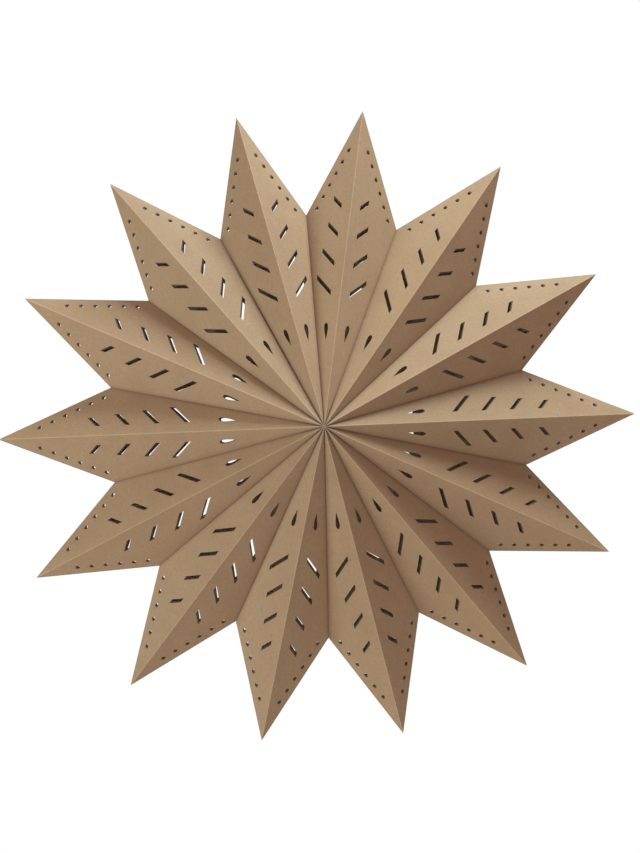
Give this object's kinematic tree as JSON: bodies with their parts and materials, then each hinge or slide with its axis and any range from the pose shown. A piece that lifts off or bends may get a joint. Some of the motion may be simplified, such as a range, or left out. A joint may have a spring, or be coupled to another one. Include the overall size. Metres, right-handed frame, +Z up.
{
  "type": "origami star",
  "caption": "Folded kraft card star decoration: hollow pointed pockets with slanted slots, drop cuts and edge dots, glued side by side round one centre, for hanging.",
  "frame": {"origin": "centre of the star, on its axis, halfway between the front and the back apex", "axes": "+Z up through the top notch, the front faces -Y, +X to the right seen from the front"},
  "size_m": [0.6, 0.15, 0.5879],
  "materials": {
    "kraft_card": "matte, uncoated, fine fibre speckle"
  },
  "bodies": {
    "root": {"point_01": "kraft_card", "point_02": "kraft_card", "point_03": "kraft_card", "point_04": "kraft_card", "point_05": "kraft_card", "point_06": "kraft_card", "point_07": "kraft_card", "point_08": "kraft_card", "point_09": "kraft_card", "point_10": "kraft_card", "point_11": "kraft_card", "point_12": "kraft_card", "point_13": "kraft_card", "point_14": "kraft_card"}
  },
  "joints": []
}
